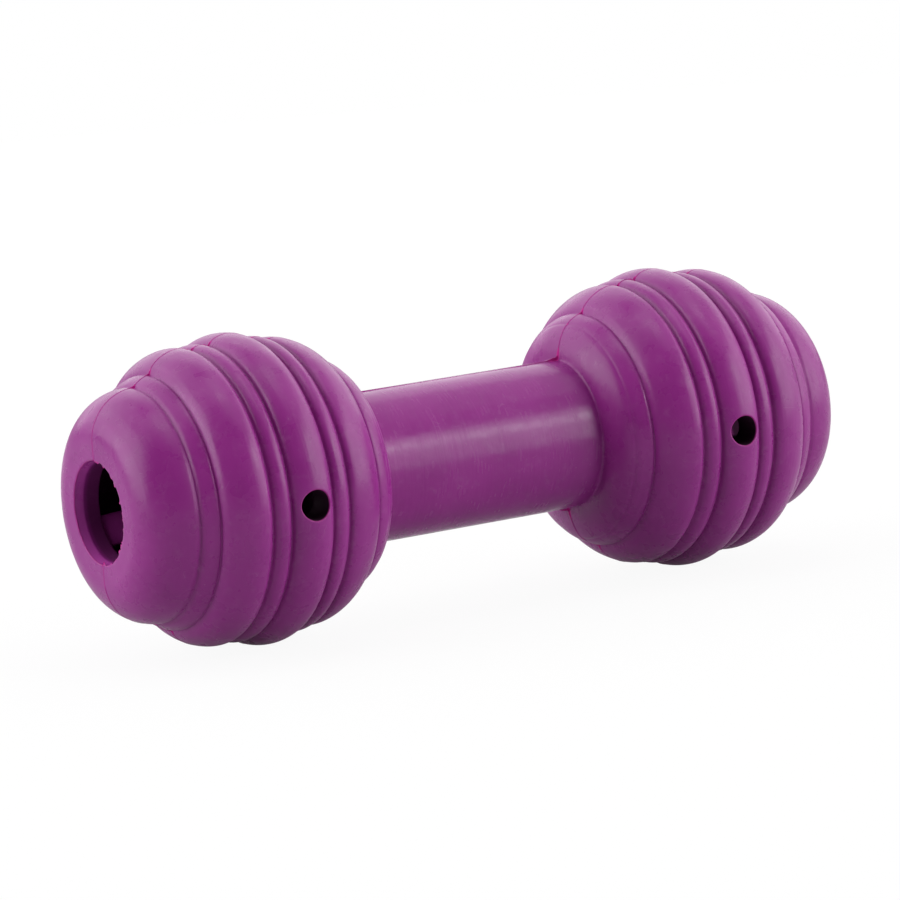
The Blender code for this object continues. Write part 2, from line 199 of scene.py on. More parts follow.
def ball_inside():
    """Inside of a ball from its mouth to the noise maker's seat."""
    lead = (NOSE_LENGTH - MOUTH_LEAD_DEPTH, MOUTH_RADIUS)
    face = (CAVITY_FACE, FINGER_FACE_RADIUS)
    points = straight((NOSE_LENGTH - 0.0002, MOUTH_RADIUS + MOUTH_LEAD_IN - 0.00003), lead, 10)
    points += straight(lead, (CAVITY_FACE + 0.0002, MOUTH_RADIUS), 16)
    points += [(CAVITY_FACE + 0.00005, MOUTH_RADIUS + 0.00006), (CAVITY_FACE, MOUTH_RADIUS + 0.0002)]
    points += straight(points[-1], face, 30)
    points += corner(face, (NOSE_CORNER_START, CHAMBER_RADIUS), 20, CORNER_POWER, False)
    points += straight(points[-1], (-TAIL_CORNER_START, CHAMBER_RADIUS), 20)
    tail_face = (-CHAMBER_TAIL, TAIL_FACE_RADIUS)
    points += corner(points[-1], tail_face, 20, CORNER_POWER, True)
    points += straight(tail_face, (-CHAMBER_TAIL, TAIL_LIP_RADIUS), 6)
    seat_x = -CHAMBER_TAIL - TAIL_LIP
    points += [(seat_x, TAIL_LIP_RADIUS), (seat_x, BAR_BORE)]
    return points


def body_profile():
    """Closed loop of (x, radius): outside from +X to -X, then inside back. Returns it and the split."""
    out = [(BALL_OFFSET + a, r) for a, r in ball_outside()]
    last = out[-1]
    bar = straight(last, (-last[0], last[1]), 64)
    outside = out + bar + [(-a, r) for a, r in reversed(out)][1:]
    inn = [(BALL_OFFSET + a, r) for a, r in ball_inside()]
    gap = straight((-inn[-1][0], inn[-1][1]), inn[-1], 8)
    inside = [(-a, r) for a, r in inn] + gap[:-1] + list(reversed(inn))
    return np.array(outside), np.array(inside)


# ---- half shells ----

FACE_X = BALL_OFFSET + NOSE_LENGTH
BAR_END = BALL_OFFSET - TAIL_BEAD[0] - CONE_LENGTH

FINGER_ANGLES = (90, 210, 330)
FINGER_CIRCLE = 0.0139
FINGER_STANDOFF = 0.0004
SEAT_RADIUS = 0.00165
SEAT_HALF = 0.0048
SEAT_EDGE = 0.00025

# Columns of the grid: distances from the seam of those beside it, and how many share the rest
SEAM_OFFSETS = np.array([0.000004, 0.00007, 0.00013, 0.00018, 0.00026, 0.0004, 0.0006, 0.0009, 0.0013, 0.0018])
SEAM_EDGE = 0.0024
COLUMNS = 116

# Moulding seam: its reach on each side, how its raised and its coloured part fade, and how far webs spread
SEAM_REACH = 0.00030
RAISED_FADE = 0.00020
LINE_FADE = 0.00010
WEB_SPREAD = 0.8
WEB_SHOWS = 0.0001
WEB_HEIGHT = 0.0005
FLASH_BALL = 0.0045

# Flash that stands proud of the seam: along the whole toy, and rising along the bar to its roots
FLASH = 0.00013
BAR_FLASH = 0.00022
BAR_FLASH_START = 0.010
BAR_FLASH_RUN = 0.019

# Torn teeth round each mouth: length, place of their row behind the face, its width, and share on each half
TEETH = 0.0011
TEETH_PLACE = 0.00016
TEETH_WIDTH = 0.00012
TEETH_FROM = 0.45
TEETH_FRONT = 2.4
TEETH_REAR = 0.2

# Painted shade inside: how dark the mouth's wall is painted, what the chamber adds to it from its depth on, and how
# they fade in
WALL_PAINTED_SHADE = 0.57
WALL_FADE = 0.0012
CHAMBER_PAINTED_SHADE = 0.31
CHAMBER_DEPTH = 0.006
CHAMBER_FADE = 0.001

# Painted light on the ring of each mouth's lead-in, and the length over which the bar's gloss ends
LEAD_LIGHT_REACH = 0.0002
LEAD_LIGHT_FADE = 0.0005
BAR_FADE = 0.001


def closed_radius(x, r, reach):
    """Radius of the outline after its hollows are bridged by a ball of the given reach."""
    pitch = 0.0001
    grid = np.arange(x.min() - 3 * reach, x.max() + 3 * reach, pitch)
    base = np.interp(grid, x, r, left=0, right=0)
    span = int(reach / pitch)
    arc = np.sqrt(np.maximum(reach ** 2 - (np.arange(-span, span + 1) * pitch) ** 2, 0))
    wide = np.full_like(base, -1.0)
    for k, h in zip(range(-span, span + 1), arc):
        wide = np.maximum(wide, np.roll(base, k) + h)
    tight = np.full_like(base, 9.0)
    for k, h in zip(range(-span, span + 1), arc):
        tight = np.minimum(tight, np.roll(wide, k) - h)
    return lambda q: np.interp(q, grid, tight)


def smooth_noise(count, span, seed):
    """Seeded values from 0 to 1 that change over about span steps."""
    raw = np.random.default_rng(seed).random(count + 6 * span)
    weights = np.hanning(2 * span + 1)
    made = np.convolve(raw, weights / weights.sum(), "same")[3 * span:3 * span + count]
    return (made - made.min()) / (made.max() - made.min())


def creased(x, r):
    """Outline with the fine crease along each groove cut in."""
    for place, depth, nose_side, tail_side in CREASES:
        off = np.abs(x) - BALL_OFFSET - place
        width = np.where(off > 0, nose_side, tail_side)
        r = r - depth * np.exp(-((off / width) ** 2))
    return r


def sealed_profile():
    """Closed loop with rounded grooves, the outline before that rounding, and the webs' height on each row."""
    outside, inside = body_profile()
    outside[:, 1] = creased(outside[:, 0], outside[:, 1])
    loop = np.vstack([outside, inside])
    count = len(outside)
    x = loop[:, 0]
    order = np.argsort(outside[:, 0], kind="stable")
    bridged = closed_radius(outside[order, 0], outside[order, 1], FLASH_BALL)
    fill = np.zeros(len(loop))
    fill[:count] = bridged(outside[:, 0]) - outside[:, 1]
    fill = WEB_HEIGHT * np.tanh(np.maximum(fill, 0) / WEB_HEIGHT)
    fill[np.abs(np.abs(x) - FACE_X) < 1e-5] = 0
    soft = closed_radius(outside[order, 0], outside[order, 1], GROOVE_ROUND)
    held = np.abs(x[:count]) < FACE_X - 0.001
    loop[:count, 1] = np.where(held, np.maximum(soft(outside[:, 0]), outside[:, 1]), outside[:, 1])
    return loop, outside, fill


def loop_normals(loop, middle):
    """Unit normals of the profile, outwards at the row called middle."""
    step = np.roll(loop, -1, 0) - np.roll(loop, 1, 0)
    normal = np.stack([-step[:, 1], step[:, 0]], 1)
    normal /= np.linalg.norm(normal, axis=1)[:, None]
    return -normal if normal[middle, 1] < 0 else normal


def seam_columns(r):
    """Angle of each column on each row, from the upper seam to the lower, and its distance from the seam."""
    first = np.arcsin(SEAM_EDGE / r)
    angles = [np.arcsin(d / r) for d in SEAM_OFFSETS]
    angles += [first + (math.pi - 2 * first) * k for k in np.linspace(0, 1, COLUMNS + 1)]
    angles += [math.pi - np.arcsin(d / r) for d in SEAM_OFFSETS[::-1]]
    return np.array(angles), np.concatenate([SEAM_OFFSETS, np.full(COLUMNS + 1, 1.0), SEAM_OFFSETS[::-1]])


def seated(xx, rad, angles, side, inner):
    """Round seats for the fingers' roots, sunk into the chambers' nose faces."""
    face = BALL_OFFSET + CAVITY_FACE
    for end in (-1, 1):
        for degrees in FINGER_ANGLES:
            axis = math.radians(degrees)
            y, z = side * rad * np.sin(angles), rad * np.cos(angles)
            out = y * math.cos(axis) + z * math.sin(axis) - FINGER_CIRCLE
            across = np.abs(z * math.cos(axis) - y * math.sin(axis))
            bowl = np.sqrt(np.maximum(SEAT_RADIUS ** 2 - out ** 2, 0)) - FINGER_STANDOFF
            deep = np.clip(bowl, 0, 1) * np.clip((SEAT_HALF - across) / SEAT_EDGE, 0, 1)
            here = inner[None, :] & (np.abs(xx - end * face) < 0.00004)
            xx = np.where(here, xx + end * deep, xx)
    return xx


def half_shell(name, side):
    """One rubber half: a grid of profile rows by columns round the axis, closed on the seam plane."""
    loop, outside, fill = sealed_profile()
    n_out, n = len(outside), len(loop)
    x, r = loop[:, 0], loop[:, 1]
    normal = loop_normals(loop, n_out // 2)
    angles, dist = seam_columns(r)
    m = len(angles)
    outer = np.zeros(n)
    outer[:n_out] = 1

    # Flash and webs along the seam
    uneven = smooth_noise(n, 25, 11 + side)
    fill *= 0.75 + 0.5 * smooth_noise(n, 40, 21 + side)
    lift = np.clip((SEAM_REACH - dist) / RAISED_FADE, 0, 1)[:, None] * outer[None, :]
    rise = FLASH * (0.15 + 0.9 * uneven ** 2)
    to_root = np.clip((np.abs(x) - BAR_FLASH_START) / BAR_FLASH_RUN, 0, 1)
    rise += BAR_FLASH * np.where(np.abs(x) < BAR_END, to_root, 0)
    rad = r[None, :] + lift * (fill + rise * normal[:, 1])[None, :]
    rad = np.minimum(rad, np.maximum(BALL_RADIUS, r[None, :]))
    xx = x[None, :] + lift * (rise * normal[:, 0])[None, :]
    xx = np.clip(xx, -FACE_X, FACE_X)
    xx = seated(xx, rad, angles, side, outer < 1)

    # Torn teeth round the mouths
    rim_rows = np.exp(-(((FACE_X - TEETH_PLACE - np.abs(x)) / TEETH_WIDTH) ** 2))
    rim_rows *= (r < MOUTH_RADIUS + MOUTH_LEAD_IN + 0.0003) & (np.abs(x) > BALL_OFFSET)
    ragged = 0.7 * smooth_noise(m, 3, 31 + side) + 0.3 * np.random.default_rng(41 + side).random(m)
    tooth = np.maximum(ragged - TEETH_FROM, 0) * (TEETH_FRONT if side < 0 else TEETH_REAR)
    rad -= TEETH * tooth[:, None] * rim_rows[None, :]

    theta = np.arcsin(np.clip(r[None, :] * np.sin(angles) / rad, 0, 1))
    theta = np.where(angles > math.pi / 2, math.pi - theta, theta)
    theta = np.where(lift > 0, theta, angles)
    verts = np.stack([xx, side * rad * np.sin(theta), AXIS_HEIGHT + rad * np.cos(theta)], -1).reshape(-1, 3)

    blocks = hole_blocks(x, n_out, m)
    faces = grid_faces(n, m, blocks, side)
    extra, more = hole_walls(verts, blocks, n, len(verts), side, outside)
    faces += more
    faces += seam_faces(verts, n, 0, side < 0)
    faces += seam_faces(verts, n, m - 1, side > 0)
    mesh = bpy.data.meshes.new(name)
    mesh.from_pydata(np.vstack([verts, extra[:, :3]]).tolist(), [], faces)
    mesh.flip_normals()  # the faces above are all wound inwards

    # What the rubber's colour and gloss read: the seam; its webs and teeth, lightened as painted light; painted light
    # on each mouth's lead-in; and painted shade inside
    seam = np.clip((SEAM_REACH - dist) / LINE_FADE, 0, 1)[:, None] * np.ones(n)[None, :] * outer[None, :]
    # The webs and the mouths' teeth take the flash's magenta, lightened as painted light through the thin rubber
    web = np.clip((SEAM_REACH + WEB_SPREAD * fill[None, :] - dist[:, None]) / RAISED_FADE, 0, 1)
    webs_and_painted_light = web * np.clip(fill / WEB_SHOWS, 0, 1)[None, :]
    webs_and_painted_light = np.maximum(webs_and_painted_light, np.clip(0.4 + tooth, 0, 1)[:, None] * (rim_rows > 0.2)[None, :])
    none = np.zeros(len(extra))
    shade(mesh, "seam", seam, none)
    shade(mesh, "webs_and_painted_light", webs_and_painted_light, extra[:, 3])
    depth = FACE_X - np.abs(x)
    # Painted shade: the mouth's wall and the chamber are coloured darker the deeper they lie
    painted_shade = np.clip((depth - MOUTH_LEAD_DEPTH) / WALL_FADE, 0, 1)
    painted_shade = painted_shade * (WALL_PAINTED_SHADE + CHAMBER_PAINTED_SHADE * np.clip((depth - CHAMBER_DEPTH) / CHAMBER_FADE, 0, 1))
    # Painted light: a paler ring on each mouth's lead-in
    painted_lead_light = np.clip((MOUTH_LEAD_DEPTH + LEAD_LIGHT_REACH - depth) / LEAD_LIGHT_FADE, 0, 1)
    bar = np.clip((BAR_END - np.abs(x)) / BAR_FADE, 0, 1)
    for label, row, more in (("inner", (1 - outer) * painted_shade, extra[:, 4]), ("painted_lead_light", (1 - outer) * painted_lead_light, none),
                             ("bar", outer * bar, none)):
        shade(mesh, label, np.repeat(row[None, :], m, 0), more)
    mesh.validate()
    mesh.update()
    return link(name, mesh)


def shade(mesh, label, grid, more):
    """Writes one value to each vertex, the grid's first and then those round the holes."""
    attribute = mesh.attributes.new(label, "FLOAT", "POINT")
    attribute.data.foreach_set("value", np.concatenate([grid.ravel(), more]).astype(np.float32))


def grid_faces(n, m, blocks, side):
    """Quads between rows and columns, except where a side hole goes through."""
    skip = set()
    for rows, cols in blocks:
        skip |= {(j, i) for j in range(cols[0], cols[1]) for i in range(rows[0], rows[1])}
    faces = []
    for j in range(m - 1):
        for i in range(n):
            if (j, i) in skip:
                continue
            k = (i + 1) % n
            quad = (j * n + i, j * n + k, (j + 1) * n + k, (j + 1) * n + i)
            faces.append(quad if side > 0 else quad[::-1])
    return faces


def seam_faces(verts, n, column, flip):
    """Flat triangles that close the half on the seam plane, along its first or last column."""
    base = column * n
    ring = [Vector((verts[base + i][0], verts[base + i][2], 0)) for i in range(n)]
    faces = []
    for a, b, c in tessellate_polygon([ring]):
        tri = (base + a, base + b, base + c)
        turn = (ring[b] - ring[a]).cross(ring[c] - ring[a]).z
        faces.append(tri if (turn > 0) == flip else tri[::-1])
    return faces


# ---- side holes ----

HOLE_ROUND = 0.00035
PATCH_HALF_X = 0.005
PATCH_HALF_Z = 0.0052


def hole_blocks(x, n_out, m):
    """Ranges of rows and columns round each side hole: outer and inner ball, right and left."""
    found = []
    for centre in (BALL_OFFSET, -BALL_OFFSET):
        for lo, hi in ((0, n_out), (n_out, len(x))):
            rows = [i for i in range(lo, hi) if abs(x[i] - centre) < PATCH_HALF_X]
            found.append((rows[0], rows[-1]))
    half = int(round(math.asin(PATCH_HALF_Z / BALL_RADIUS) / (math.pi / COLUMNS)))
    middle = (m - 1) // 2
    return [(rows, (middle - half, middle + half)) for rows in found]


def hole_walls(verts, blocks, n, base, side, outside):
    """Vertices and faces from each gap in the grid, through the wall, to the gap inside."""
    order = np.argsort(outside[:, 0], kind="stable")
    ox, orad = outside[order, 0], outside[order, 1]
    extra, faces = [], []
    for pair in ((0, 1), (2, 3)):
        rings = []
        centre = BALL_OFFSET if pair[0] == 0 else -BALL_OFFSET
        for which in pair:
            rows, cols = blocks[which]
            loop = [(cols[0], i) for i in range(rows[0], rows[1])]
            loop += [(j, rows[1]) for j in range(cols[0], cols[1])]
            loop += [(cols[1], i) for i in range(rows[1], rows[0], -1)]
            loop += [(j, rows[0]) for j in range(cols[1], cols[0], -1)]
            rings.append([j * n + i for j, i in loop])
        outer_ring, inner_ring = rings
        chain = patch(verts, outer_ring, centre, side, ox, orad, True, extra, base)
        deep = patch(verts, inner_ring, centre, side, ox, orad, False, extra, base)
        faces += bridge(chain, side > 0)
        faces += bridge(deep, side > 0)
        faces += zipper(chain[-1], deep[-1], extra, base, centre)
    return np.array(extra), faces


def patch(verts, ring, centre, side, ox, orad, outer, extra, base):
    """Rings from a rectangular gap in the grid to the round hole; adds (x, y, z, painted rim light, painted shade) to
    extra.
    """
    rings = [ring]
    pts = [(verts[k][0] - centre, verts[k][2] - AXIS_HEIGHT) for k in ring]
    rim = SIDE_HOLE_RADIUS + (HOLE_ROUND if outer else 0)
    for t in (0.34, 0.62, 0.82, 0.94, 1.0):
        row = []
        for px, pz in pts:
            a = math.atan2(pz, px)
            qx = px + (rim * math.cos(a) - px) * t
            qz = pz + (rim * math.sin(a) - pz) * t
            radius = np.interp(centre + qx, ox, orad) if outer else CHAMBER_RADIUS
            y = side * math.sqrt(radius ** 2 - qz ** 2)
            row.append(base + len(extra))
            # The last value is painted shade: 0 on the outer rings, 1 on the rings inside the wall
            extra.append((centre + qx, y, AXIS_HEIGHT + qz, 0.0, 0.0 if outer else 1.0))
        rings.append(row)
    if outer:
        for k in np.linspace(0, 1, 6)[1:]:
            row = []
            for px, pz in pts:
                a = math.atan2(pz, px)
                bend = math.pi / 2 * k
                rho = rim - HOLE_ROUND * math.sin(bend)
                drop = HOLE_ROUND * (1 - math.cos(bend))
                qx, qz = rho * math.cos(a), rho * math.sin(a)
                ex, ez = rim * math.cos(a), rim * math.sin(a)
                radius = np.interp(centre + ex, ox, orad)
                y = side * (math.sqrt(radius ** 2 - ez ** 2) - drop)
                row.append(base + len(extra))
                # On the hole's rounded rim: a thin line of the web colour as painted highlight, and painted shade as it
                # turns into the hole
                extra.append((centre + qx, y, AXIS_HEIGHT + qz, 0.5 * math.sin(math.pi * k), max(0.0, 1.5 * k - 0.5)))
            rings.append(row)
    return rings


def bridge(rings, flip):
    """Quads between rings of the same count."""
    faces = []
    for a, b in zip(rings, rings[1:]):
        for k in range(len(a)):
            q = (k + 1) % len(a)
            quad = (a[k], a[q], b[q], b[k])
            faces.append(quad if flip else quad[::-1])
    return faces


def zipper(outer, inner, extra, base, centre):
    """Triangles between two rings with different counts, both ordered round the hole."""
    def turned(k):
        x, _, z = extra[k - base][:3]
        return math.atan2(z - AXIS_HEIGHT, x - centre)
    a, b = (sorted((turned(k), k) for k in ring) for ring in (outer, inner))
    faces = []
    i = j = 0
    while i < len(a) or j < len(b):
        ta = a[i + 1][0] if i + 1 < len(a) else a[(i + 1) % len(a)][0] + math.tau
        tb = b[j + 1][0] if j + 1 < len(b) else b[(j + 1) % len(b)][0] + math.tau
        if j >= len(b) or (i < len(a) and ta <= tb):
            faces.append((a[i % len(a)][1], a[(i + 1) % len(a)][1], b[j % len(b)][1]))
            i += 1
        else:
            faces.append((a[i % len(a)][1], b[(j + 1) % len(b)][1], b[j % len(b)][1]))
            j += 1
    p = [np.array(extra[k - base][:3]) for k in faces[0]]
    turn = np.cross(p[1] - p[0], p[2] - p[0])
    middle = (p[0] + p[1] + p[2]) / 3
    towards = np.array([centre - middle[0], 0, AXIS_HEIGHT - middle[2]])
    return [f[::-1] for f in faces] if turn @ towards < 0 else faces


SHARP_ANGLE = math.radians(38)


def smoothed(mesh):
    mesh.shade_smooth()
    mesh.set_sharp_from_angle(angle=SHARP_ANGLE)


def link(name, mesh, smooth=True):
    obj = bpy.data.objects.new(name, mesh)
    bpy.context.scene.collection.objects.link(obj)
    if smooth:
        smoothed(mesh)
    return obj


# ---- materials ----

class Nodes:
    """Short names for adding and wiring shader nodes."""

    def __init__(self, name):
        self.material = bpy.data.materials.new(name)
        self.material.use_nodes = True
        self.tree = self.material.node_tree
        self.shader = self.tree.nodes["Principled BSDF"]

    def add(self, kind, **settings):
        node = self.tree.nodes.new(kind)
        inputs = settings.pop("inputs", {})
        for key, value in settings.items():
            setattr(node, key, value)
        for key, value in inputs.items():
            if isinstance(value, bpy.types.NodeSocket):
                self.tree.links.new(value, node.inputs[key])
            else:
                node.inputs[key].default_value = value
        return node

    def wire(self, socket, key):
        self.tree.links.new(socket, self.shader.inputs[key])

    def place(self, scale):
        coords = self.add("ShaderNodeTexCoord").outputs["Object"]
        return self.add("ShaderNodeMapping", inputs={"Vector": coords, "Scale": scale}).outputs[0]

    def noise(self, scale, detail=3.0, rough=0.5):
        node = self.add("ShaderNodeTexNoise", inputs={"Vector": self.place(scale), "Scale": 1.0, "Detail": detail,
                                                      "Roughness": rough})
        return node.outputs["Fac"]

    def attribute(self, name):
        return self.add("ShaderNodeAttribute", attribute_name=name).outputs["Fac"]

    def ramp(self, value, low, high, to_low=0.0, to_high=1.0):
        node = self.add("ShaderNodeMapRange", interpolation_type="SMOOTHSTEP",
                        inputs={"Value": value, "From Min": low, "From Max": high, "To Min": to_low, "To Max": to_high})
        return node.outputs[0]

    def math(self, operation, a, b):
        return self.add("ShaderNodeMath", operation=operation, inputs={0: a, 1: b}).outputs[0]

    def mix(self, share, a, b):
        node = self.add("ShaderNodeMix", data_type="RGBA")
        for key, value in ((0, share), (6, a), (7, b)):
            if isinstance(value, bpy.types.NodeSocket):
                self.tree.links.new(value, node.inputs[key])
            else:
                node.inputs[key].default_value = value
        return node.outputs[2]

    def bump(self, height, distance, strength=1.0, normal=None):
        inputs = {"Height": height, "Distance": distance, "Strength": strength}
        if normal is not None:
            inputs["Normal"] = normal
        return self.add("ShaderNodeBump", inputs=inputs).outputs[0]


# Paler colour painted on the mouths' lead-in as painted light
LEAD_LIGHT_COLOUR = (0.52, 0.075, 0.43, 1)
SEAM_COLOUR = (0.33, 0.006, 0.20, 1)
# The flash's own magenta, lightened as painted light through the thin rubber
WEB_AND_PAINTED_LIGHT_COLOUR = (0.55, 0.008, 0.27, 1)
# Near-black colour of the painted shade inside the mouths, chambers and side holes
PAINTED_SHADE_COLOUR = (0.014, 0.0005, 0.009, 1)


def rubber_material(name, deep, plain, pale, roughness, gloss):
    """Moulded natural rubber: cloudy colour, pale bloom, lathe lines from the mould, hairs and fine specks, with
    painted light and painted shade mixed in where the mesh marks them.
    """
    n = Nodes(name)
    cloud = n.ramp(n.noise((60, 60, 60), 3.0), 0.3, 0.7)
    colour = n.mix(cloud, deep, plain)
    bloom = n.math("MULTIPLY", n.ramp(n.noise((420, 420, 420), 5.0, 0.65), 0.5, 0.8), 0.14)
    colour = n.mix(bloom, colour, pale)
    seam, webs_and_painted_light, inner, painted_lead_light, bar = (n.attribute(key) for key in ("seam", "webs_and_painted_light", "inner", "painted_lead_light", "bar"))
    # Mixed in from the mesh: painted light on the lead-in, the seam's colour, the webs (partly painted light) and
    # painted shade inside
    for value, share, tint in ((painted_lead_light, 0.85, LEAD_LIGHT_COLOUR), (seam, 0.85, SEAM_COLOUR), (webs_and_painted_light, 0.9, WEB_AND_PAINTED_LIGHT_COLOUR),
                               (inner, 0.96, PAINTED_SHADE_COLOUR)):
        colour = n.mix(n.math("MULTIPLY", value, share), colour, tint)
    cells = n.add("ShaderNodeTexVoronoi", inputs={"Vector": n.place((150, 150, 150)), "Scale": 1.0})
    dots = n.math("MULTIPLY", n.ramp(cells.outputs["Distance"], 0.030, 0.018), 0.45)
    colour = n.mix(dots, colour, pale)
    curve = n.math("ABSOLUTE", n.math("SUBTRACT", n.noise((110, 160, 160), 2.0), 0.5), 0.0)
    few = n.ramp(n.noise((230, 230, 230), 0.0), 0.71, 0.76)
    hairs = n.math("MULTIPLY", n.ramp(curve, 0.006, 0.003), n.math("MULTIPLY", few, 0.22))
    colour = n.mix(hairs, colour, pale)
    n.wire(colour, "Base Color")
    shine = n.ramp(n.noise((240, 240, 240), 4.0), 0.3, 0.7, roughness - 0.04, roughness + 0.06)
    matt = n.math("MAXIMUM", inner, n.math("MAXIMUM", seam, webs_and_painted_light))
    streaks = n.ramp(n.noise((1700, 170, 170), 1.0), 0.32, 0.68, 0.05, 0.095)
    shine = n.math("SUBTRACT", shine, n.math("MULTIPLY", bar, streaks))
    n.wire(n.math("ADD", shine, n.math("MULTIPLY", matt, 0.45)), "Roughness")
    lines = n.bump(n.noise((1500, 90, 90), 1.0), 0.000032, 1.0)
    grain = n.bump(n.noise((1000, 1000, 1000), 2.0), 0.000014, 0.8, lines)
    waves = n.bump(n.noise((220, 220, 220), 2.0), 0.00008, 0.5, grain)
    n.wire(waves, "Normal")
    n.shader.inputs["IOR"].default_value = 1.5
    n.shader.inputs["Specular IOR Level"].default_value = gloss
    return n.material


BLOOM = (0.45, 0.20, 0.40, 1)
body_rubber = rubber_material("body_rubber", (0.265, 0.021, 0.219, 1), (0.300, 0.027, 0.248, 1), BLOOM, 0.29, 0.3)
finger_rubber = rubber_material("finger_rubber", (0.27, 0.021, 0.22, 1), (0.31, 0.027, 0.25, 1), BLOOM, 0.6, 0.2)


def plain_material(name, colour, roughness, metallic=0.0, grain=1500.0, depth=0.00001, tint=0.85):
    """One procedural look: a little cloud in the colour, uneven gloss and a fine grain."""
    n = Nodes(name)
    darker = tuple(c * tint for c in colour[:3]) + (1,)
    n.wire(n.mix(n.noise((220, 220, 220), 4.0), darker, colour), "Base Color")
    n.wire(n.ramp(n.noise((500, 500, 500), 4.0), 0.3, 0.7, roughness - 0.04, roughness + 0.06), "Roughness")
    n.wire(n.bump(n.noise((grain, grain, grain), 3.0), depth, 0.6), "Normal")
    n.shader.inputs["Metallic"].default_value = metallic
    return n.material


clear_plastic = plain_material("clear_plastic", (0.90, 0.92, 0.93, 1), 0.10, tint=0.97)
clear_shader = clear_plastic.node_tree.nodes["Principled BSDF"]
clear_shader.inputs["Transmission Weight"].default_value = 0.85
clear_shader.inputs["IOR"].default_value = 1.49
white_plastic = plain_material("white_plastic", (0.80, 0.80, 0.78, 1), 0.35)
pad_rubber = plain_material("pad_rubber", (0.012, 0.012, 0.014, 1), 0.85, grain=2500.0, depth=0.00006, tint=0.5)
slider_plastic = plain_material("slider_plastic", (0.022, 0.105, 0.34, 1), 0.32)
steel = plain_material("steel", (0.42, 0.43, 0.45, 1), 0.28, 1.0, 900.0)
reed_plastic = plain_material("reed_plastic", (0.70, 0.20, 0.035, 1), 0.3)
brass = plain_material("brass", (0.66, 0.42, 0.12, 1), 0.25, 1.0, 700.0)

for name, side in (("front_half_shell", -1), ("rear_half_shell", 1)):
    piece = half_shell(name + "_rubber", side)
    piece.data.materials.append(body_rubber)
    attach(piece, "toy_body")
    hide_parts(name)


# ---- treat fingers ----

FINGER_LENGTH = 0.012
FINGER_WIDTH = 0.008
FINGER_ROOT = 0.0012
FINGER_TIP = 0.0008
FINGER_LEAN = math.radians(16)
FINGER_BARREL = 0.0013
FINGER_CORNER = 0.0022
FINGER_SQUARENESS = 2 / 7
SEAT_GAP = 0.0003

# The photo's side hole is black, so the right ball's fingers are painted darker from the root this far, the last part
# fading
PAINTED_SHADE_ROOT = 0.0062
PAINTED_SHADE_FADE = 0.0025


def finger_place(side, angle):
    """Hinge at the chamber's nose face, tongue leaning to the axis."""
    radial = Vector((0.0, math.cos(angle), math.sin(angle)))
    tongue = Vector((-side, 0.0, 0.0)) * math.cos(FINGER_LEAN) - radial * math.sin(FINGER_LEAN)
    hinge = Vector((side, 0.0, 0.0)).cross(radial)
    place = Matrix((tongue, hinge.cross(tongue), hinge)).transposed().to_4x4()
    root_x = side * (BALL_OFFSET + CAVITY_FACE - FINGER_STANDOFF)
    place.translation = Vector((root_x, 0.0, AXIS_HEIGHT)) + radial * FINGER_CIRCLE
    return place


def finger_mesh(name, painted_shade):
    """Rounded tongue lofted along X: round root, straight sides, thinner rounded tip; the second argument sets the
    painted shade near the root.
    """
    meet = math.sqrt(FINGER_BARREL ** 2 - FINGER_ROOT ** 2)
    stations = [-FINGER_BARREL * math.cos(a) for a in np.linspace(0, math.pi / 2, 10)[:-1]]
    stations += list(np.linspace(0, FINGER_LENGTH - FINGER_CORNER, 26))
    stations += list(FINGER_LENGTH - FINGER_CORNER * (1 - np.sin(np.linspace(0, math.pi / 2, 14)[1:])))
    around = np.linspace(0, math.tau, 72, endpoint=False)
    cosine, sine = np.cos(around), np.sin(around)
    verts, faces = [], []
    for x in stations:
        if x < meet:
            thick = math.sqrt(max(FINGER_BARREL ** 2 - x * x, 1e-12))
        else:
            thick = FINGER_ROOT + (FINGER_TIP - FINGER_ROOT) * (x - meet) / (FINGER_LENGTH - meet)
        past = max(x - (FINGER_LENGTH - FINGER_CORNER), 0) / FINGER_CORNER
        wide = FINGER_WIDTH / 2 - FINGER_CORNER * (1 - math.sqrt(max(1 - past ** 2, 0)))
        left = FINGER_LENGTH - x
        if left < FINGER_TIP:
            thick *= math.sqrt(max(1 - (1 - left / FINGER_TIP) ** 2, 0.0004))
        for c, s in zip(cosine, sine):
            verts.append((x, math.copysign(abs(s) ** FINGER_SQUARENESS, s) * thick,
                          math.copysign(abs(c) ** FINGER_SQUARENESS, c) * wide))
    count = len(around)
    for i in range(len(stations) - 1):
        for k in range(count):
            q = (k + 1) % count
            faces.append((i * count + k, (i + 1) * count + k, (i + 1) * count + q, i * count + q))
    faces.append(tuple(range(count)))
    last = (len(stations) - 1) * count
    faces.append(tuple(last + k for k in reversed(range(count))))
    mesh = bpy.data.meshes.new(name)
    mesh.from_pydata(verts, [], faces)
    mesh.validate()
    # Painted shade: darker near the root on fingers given a shade of 1
    values = [painted_shade * min(max((PAINTED_SHADE_ROOT - v[0]) / PAINTED_SHADE_FADE, 0.0), 1.0) for v in verts]
    mesh.attributes.new("inner", "FLOAT", "POINT").data.foreach_set("value", values)
    return mesh


for side, end in ((-1, "left"), (1, "right")):
    for number, degrees in enumerate(FINGER_ANGLES, 1):
        tag = end + "_finger_" + str(number)
        # The right ball's fingers get painted shade near their roots
        finger = link(tag + "_rubber", finger_mesh(tag, 1.0 if side > 0 else 0.0))
        finger.matrix_world = finger_place(side, math.radians(degrees))
        finger.data.materials.append(finger_rubber)
        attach(finger, tag)
        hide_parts(end + "_treat_finger_" + str(number))


# ---- noise maker ----

